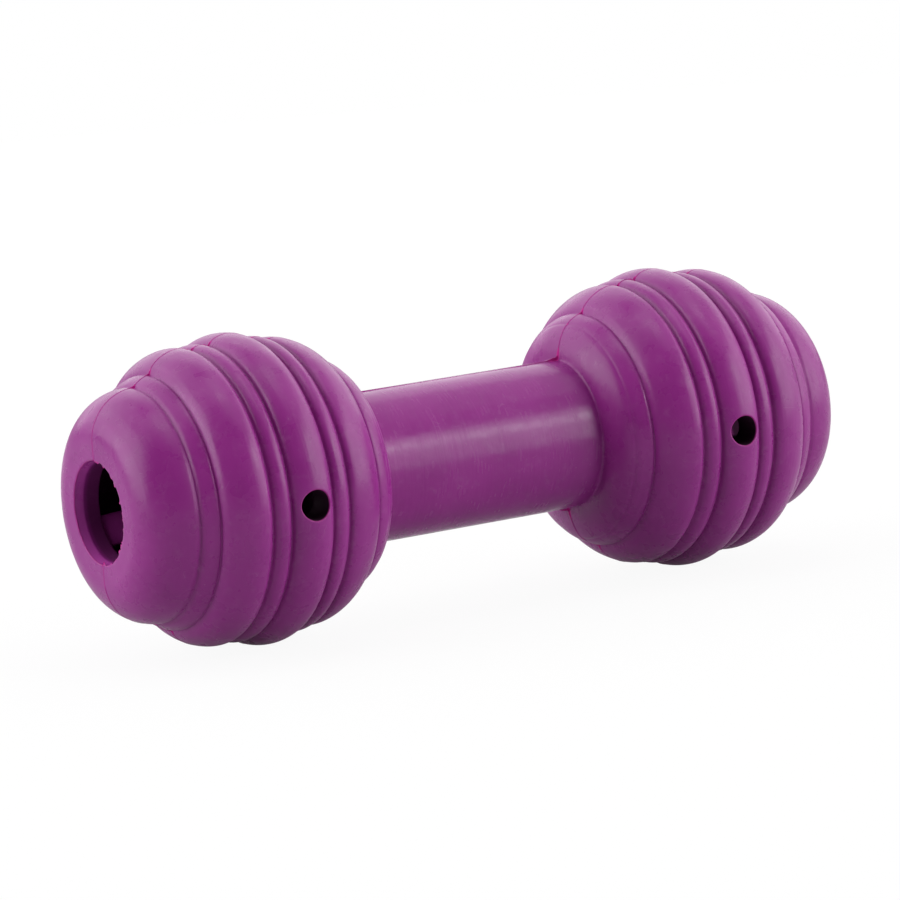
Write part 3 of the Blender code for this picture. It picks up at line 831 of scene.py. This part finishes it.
TUBE_RADIUS = 0.012
TUBE_BORE = 0.0106
SKIRT_RADIUS = 0.0103
SKIRT_WALL = 0.0015
CARTRIDGE_END = 0.0335
CAP_INNER = 0.0319
CAP_SKIRT = 0.004
VENT_RADIUS = 0.0011
VENT_CIRCLE = 0.0046
PAD_RADIUS = 0.0085
PAD_RING = 0.002
PAD_FACE = 0.0273
SLIDER_X = -0.016
SLIDER_HALF = 0.011
SLIDER_RADIUS = 0.0102
SLIDER_WAIST = 0.0094
SLIDER_BAND = 0.004
SLIDER_DUCT = 0.0034
SLIDER_WALL = 0.0015
RECESS_RADIUS = SLIDER_RADIUS - SLIDER_WALL
REED_PLATE = 0.0012
REED_SLOT = (0.002, 0.0052)
REED_THICKNESS = 0.00035
REED_OVERLAP = 0.0006
REED_ROOT = 0.002
CLAMP_THICKNESS = 0.0008
CLAMP_WIDTH = 0.0046
SLIDER_FLOOR = SLIDER_HALF - (REED_PLATE + REED_THICKNESS + CLAMP_THICKNESS + 4 * SEAT_GAP)


def rounded(loop, bevel, steps=4):
    """Loop of (x, radius) with each corner cut back and rounded."""
    made = []
    for i, here in enumerate(loop):
        here = np.array(here)
        before, after = np.array(loop[i - 1]), np.array(loop[(i + 1) % len(loop)])
        cut = min(bevel, np.linalg.norm(before - here) * 0.4, np.linalg.norm(after - here) * 0.4)
        a = here + (before - here) / np.linalg.norm(before - here) * cut
        b = here + (after - here) / np.linalg.norm(after - here) * cut
        for t in np.linspace(0, 1, steps + 1):
            made.append(tuple((1 - t) ** 2 * a + 2 * t * (1 - t) * here + t * t * b))
    return made


def lathe(name, loop, material, centre=0.0, bevel=0.0002, steps=96):
    """Ring turned about the bar's axis from a closed loop of (x, radius), its edges rounded."""
    loop = rounded(loop, bevel)
    area = sum(a[0] * b[1] - b[0] * a[1] for a, b in zip(loop, loop[1:] + loop[:1]))
    if area > 0:
        loop = loop[::-1]
    verts, faces = [], []
    n = len(loop)
    for j in range(steps):
        a = math.tau * j / steps
        verts += [(centre + x, r * math.cos(a), AXIS_HEIGHT + r * math.sin(a)) for x, r in loop]
    for j in range(steps):
        k = (j + 1) % steps
        for i in range(n):
            q = (i + 1) % n
            faces.append((j * n + i, k * n + i, k * n + q, j * n + q))
    mesh = bpy.data.meshes.new(name)
    mesh.from_pydata(verts, [], faces)
    mesh.validate()
    obj = link(name, mesh)
    obj.data.materials.append(material)
    return obj


def turned_about(loop, side):
    return [(side * x, r) for x, r in loop]


def cut_with(obj, name, tool):
    cut = obj.modifiers.new(name, "BOOLEAN")
    cut.object = tool
    cut.solver = "EXACT"


def apply_cuts(obj):
    """Makes the cuts final and removes their tools."""
    graph = bpy.context.evaluated_depsgraph_get()
    made = bpy.data.meshes.new_from_object(obj.evaluated_get(graph))
    tools = [m.object for m in obj.modifiers if m.type == "BOOLEAN"]
    obj.modifiers.clear()
    obj.data = made
    for tool in tools:
        bpy.data.objects.remove(tool)
    smoothed(obj.data)


def cylinder(name, centre, radius, depth, steps=28):
    """Round tool along X that drills a vent."""
    verts = []
    for end in (-0.5, 0.5):
        for k in range(steps):
            a = math.tau * k / steps
            verts.append((centre[0] + end * depth, centre[1] + radius * math.cos(a), centre[2] + radius * math.sin(a)))
    faces = [tuple(reversed(range(steps))), tuple(range(steps, 2 * steps))]
    faces += [(k, (k + 1) % steps, steps + (k + 1) % steps, steps + k) for k in range(steps)]
    mesh = bpy.data.meshes.new(name)
    mesh.from_pydata(verts, [], faces)
    return link(name, mesh, False)


def block(name, centre, size, material=None, bevel=0.0):
    """Box with rounded edges, or a plain tool that cuts a slot where it has no material."""
    x, y, z = (v / 2 for v in size)
    corners = [(sx * x, sy * y, sz * z) for sx in (-1, 1) for sy in (-1, 1) for sz in (-1, 1)]
    faces = [(0, 1, 3, 2), (4, 6, 7, 5), (0, 4, 5, 1), (2, 3, 7, 6), (0, 2, 6, 4), (1, 5, 7, 3)]
    mesh = bpy.data.meshes.new(name)
    mesh.from_pydata(corners, [], faces)
    obj = link(name, mesh, False)
    obj.location = centre
    if material:
        mesh.materials.append(material)
        edge = obj.modifiers.new("edge", "BEVEL")
        edge.width = bevel
        edge.segments = 3
        mesh.shade_smooth()
    return obj


def file_piece(obj, body, node):
    """Says which body the piece rides on and which node it stands for."""
    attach(obj, body)
    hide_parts(node)


def add_cartridge():
    """Tube with its vented end caps and the pads that stop the slider."""
    end_x = CAP_INNER - SEAT_GAP
    tube = lathe("sounder_tube_moulding", [(end_x, TUBE_RADIUS), (-end_x, TUBE_RADIUS), (-end_x, TUBE_BORE),
                                            (end_x, TUBE_BORE)], clear_plastic)
    file_piece(tube, "toy_body", "sounder_tube")
    for side, end in ((-1, "left"), (1, "right")):
        bore = SKIRT_RADIUS - SKIRT_WALL
        loop = [(CARTRIDGE_END, VENT_RADIUS), (CARTRIDGE_END, TUBE_RADIUS), (CAP_INNER, TUBE_RADIUS),
                (CAP_INNER, SKIRT_RADIUS), (CAP_INNER - CAP_SKIRT, SKIRT_RADIUS), (CAP_INNER - CAP_SKIRT, bore),
                (CAP_INNER, bore), (CAP_INNER, VENT_RADIUS)]
        cap = lathe(end + "_cap_moulding", turned_about(loop, side), white_plastic)
        for k in range(6):
            a = math.tau * k / 6
            centre = (side * (CARTRIDGE_END + CAP_INNER) / 2, VENT_CIRCLE * math.cos(a),
                      AXIS_HEIGHT + VENT_CIRCLE * math.sin(a))
            vent = end + "_vent_" + str(k)
            cut_with(cap, vent, cylinder(vent, centre, VENT_RADIUS, 0.006))
        apply_cuts(cap)
        file_piece(cap, "toy_body", end + "_sounder_cap")
        back = CAP_INNER - SEAT_GAP
        hole = PAD_RADIUS - PAD_RING
        ring = [(back, PAD_RADIUS), (PAD_FACE, PAD_RADIUS), (PAD_FACE, hole), (back, hole)]
        pad = lathe(end + "_pad_ring", turned_about(ring, side), pad_rubber, bevel=0.0004)
        file_piece(pad, "toy_body", end + "_bumper_pad")


def add_slider():
    """Weighted slider: waisted body with a duct, steel ring in its pocket, and a reed in each end."""
    duct_outer = SLIDER_DUCT + SLIDER_WALL
    pocket_outer = RECESS_RADIUS - SLIDER_WALL - SEAT_GAP
    floor = SLIDER_FLOOR
    pocket_end = -floor + 0.002
    half, band = SLIDER_HALF, SLIDER_BAND
    loop = [(half, SLIDER_RADIUS), (half - band, SLIDER_RADIUS), (half - band, SLIDER_WAIST),
            (band - half, SLIDER_WAIST), (band - half, SLIDER_RADIUS), (-half, SLIDER_RADIUS),
            (-half, RECESS_RADIUS), (-floor, RECESS_RADIUS),
            (-floor, SLIDER_DUCT), (floor, SLIDER_DUCT), (floor, duct_outer), (pocket_end, duct_outer),
            (pocket_end, pocket_outer), (floor, pocket_outer), (floor, RECESS_RADIUS), (half, RECESS_RADIUS)]
    file_piece(lathe("slider_moulding", loop, slider_plastic, SLIDER_X), "slider", "slider_body")
    start = pocket_end + SEAT_GAP
    ring = [(floor, pocket_outer - SEAT_GAP), (start, pocket_outer - SEAT_GAP), (start, duct_outer + SEAT_GAP),
            (floor, duct_outer + SEAT_GAP)]
    file_piece(lathe("slider_steel_ring", ring, steel, SLIDER_X), "slider", "slider_weight")
    for side, end in ((-1, "left"), (1, "right")):
        add_reed(side, end)


def add_reed(side, end):
    """Slotted plate, the sheet tongue over its slot and the bar that clamps the tongue."""
    back = SLIDER_FLOOR + SEAT_GAP
    front = back + REED_PLATE
    disc = [(front, 0.0005), (front, RECESS_RADIUS - SEAT_GAP), (back, RECESS_RADIUS - SEAT_GAP), (back, 0.0005)]
    plate = lathe(end + "_reed_disc", turned_about(disc, side), reed_plastic, SLIDER_X, 0.00015)
    slot = block(end + "_reed_slot", (SLIDER_X + side * (back + front) / 2, 0, AXIS_HEIGHT), (0.01,) + REED_SLOT)
    cut_with(plate, "slot", slot)
    apply_cuts(plate)
    file_piece(plate, "slider", end + "_reed_plate")
    tongue_x = SLIDER_X + side * (front + SEAT_GAP + REED_THICKNESS / 2)
    length = REED_SLOT[1] + REED_OVERLAP + REED_ROOT
    tongue_z = AXIS_HEIGHT - REED_SLOT[1] / 2 - REED_ROOT + length / 2
    size = (REED_THICKNESS, REED_SLOT[0] + 2 * REED_OVERLAP, length)
    tongue = block(end + "_reed_sheet", (tongue_x, 0, tongue_z), size, brass, 0.00008)
    file_piece(tongue, "slider", end + "_reed_tongue")
    clamp_x = tongue_x + side * (REED_THICKNESS / 2 + SEAT_GAP + CLAMP_THICKNESS / 2)
    clamp_z = AXIS_HEIGHT - REED_SLOT[1] / 2 - REED_ROOT / 2
    size = (CLAMP_THICKNESS, CLAMP_WIDTH, REED_ROOT)
    clamp = block(end + "_reed_bar", (clamp_x, 0, clamp_z), size, reed_plastic, 0.0002)
    file_piece(clamp, "slider", end + "_reed_clamp")


add_cartridge()
add_slider()


# ---- studio ----

def softbox(name, azimuths, elevations, radiance, distance=2.4):
    """Flat lamp that covers the given angles as seen from the toy; radiance 1 is plain white."""
    azimuth, elevation = sum(azimuths) / 2, sum(elevations) / 2
    width = 2 * distance * math.tan(math.radians(azimuths[1] - azimuths[0]) / 2) * math.cos(math.radians(elevation))
    height = 2 * distance * math.tan(math.radians(elevations[1] - elevations[0]) / 2)
    data = bpy.data.lights.new(name, "AREA")
    data.shape = "RECTANGLE"
    data.size = width
    data.size_y = height
    data.energy = radiance * math.pi * width * height
    obj = bpy.data.objects.new(name, data)
    away = direction(azimuth, elevation)
    facing = (Matrix.Rotation(PHOTO_ROLL, 3, "X") @ away).to_track_quat("Z", "Y").to_matrix().to_4x4()
    obj.matrix_world = Matrix.Translation(in_part_frame(away * distance)) @ facing
    bpy.context.scene.collection.objects.link(obj)


SOFTBOXES = (
    ("right_edge_softbox", (21, 30), (-2, 44), 1.7),
    ("right_core_softbox", (32, 48), (29, 37), 4.4),
    ("right_key_low_softbox", (30, 62), (-2, 16), 3.5),
    ("right_key_softbox", (30, 62), (16, 44), 3.45),
    ("right_fill_softbox", (62, 82), (-2, 44), 2.9),
    ("right_far_softbox", (82, 105), (-2, 44), 1.3),
    ("left_low_softbox", (-134, -90), (-2, 20), 4.2),
    ("left_softbox", (-134, -90), (20, 44), 3.2),
    ("left_far_softbox", (-158, -134), (-2, 44), 1.8),
    ("back_softbox", (105, 202), (-2, 44), 1.37),
    ("right_top_softbox", (30, 90), (46, 66), 0.57),
    ("back_top_softbox", (90, 180), (46, 66), 0.9),
    ("left_top_softbox", (180, 270), (46, 66), 1.2),
    ("top_right_softbox", (0, 90), (66, 90), 1.17),
    ("top_back_softbox", (90, 180), (66, 90), 1.66),
    ("top_left_softbox", (180, 270), (66, 90), 1.31),
)

for row in SOFTBOXES:
    softbox(*row)


MIRRORED_SHARE = 0.12
FLOOR_RADIUS = 1.45
FLOOR_SIDES = 96
FLOOR_GREY = (0.55, 0.55, 0.55, 1)
FLOOR_SEEN = (0.85, 0.85, 0.85, 1)
FLOOR_GLOW = 0.93
WORLD_LIGHT = 0.02


def seen_directly(tree):
    """1 for rays from the camera or through clear pieces, and a little for mirrored ones."""
    path = tree.nodes.new("ShaderNodeLightPath")
    dimmed = tree.nodes.new("ShaderNodeMath")
    dimmed.operation = "MULTIPLY"
    tree.links.new(path.outputs["Is Glossy Ray"], dimmed.inputs[0])
    dimmed.inputs[1].default_value = MIRRORED_SHARE
    share = path.outputs["Is Camera Ray"]
    for other in (path.outputs["Is Transmission Ray"], dimmed.outputs[0]):
        either = tree.nodes.new("ShaderNodeMath")
        either.operation = "MAXIMUM"
        tree.links.new(share, either.inputs[0])
        tree.links.new(other, either.inputs[1])
        share = either.outputs[0]
    return share


def add_floor():
    """Pale disc, nearly white to the camera, that still takes a faint shadow of the toy."""
    turns = [math.tau * k / FLOOR_SIDES for k in range(FLOOR_SIDES)]
    verts = [(FLOOR_RADIUS * math.cos(a), FLOOR_RADIUS * math.sin(a), 0) for a in turns]
    mesh = bpy.data.meshes.new("floor")
    mesh.from_pydata(verts, [], [tuple(range(FLOOR_SIDES))])
    obj = link("floor", mesh, False)
    n = Nodes("floor")
    seen = n.add("ShaderNodeLightPath").outputs["Is Camera Ray"]
    n.wire(n.mix(seen, FLOOR_GREY, FLOOR_SEEN), "Base Color")
    n.shader.inputs["Roughness"].default_value = 0.9
    white = n.add("ShaderNodeEmission", inputs={"Color": (1, 1, 1, 1), "Strength": 1.0})
    share = n.math("MULTIPLY", seen_directly(n.tree), FLOOR_GLOW)
    mixed = n.add("ShaderNodeMixShader", inputs={0: share, 1: n.shader.outputs[0], 2: white.outputs[0]})
    n.tree.links.new(mixed.outputs[0], n.tree.nodes["Material Output"].inputs["Surface"])
    mesh.materials.append(n.material)


def add_world():
    """White backdrop that hardly lights the toy."""
    world = bpy.data.worlds.new("studio")
    world.use_nodes = True
    bpy.context.scene.world = world
    tree = world.node_tree
    back = tree.nodes["Background"]
    grey = tree.nodes.new("ShaderNodeMapRange")
    tree.links.new(seen_directly(tree), grey.inputs["Value"])
    grey.inputs["To Min"].default_value = WORLD_LIGHT
    grey.inputs["To Max"].default_value = 1.0
    tree.links.new(grey.outputs[0], back.inputs["Strength"])
    back.inputs["Color"].default_value = (1, 1, 1, 1)


add_floor()
add_world()
bpy.context.scene.view_settings.view_transform = "Standard"
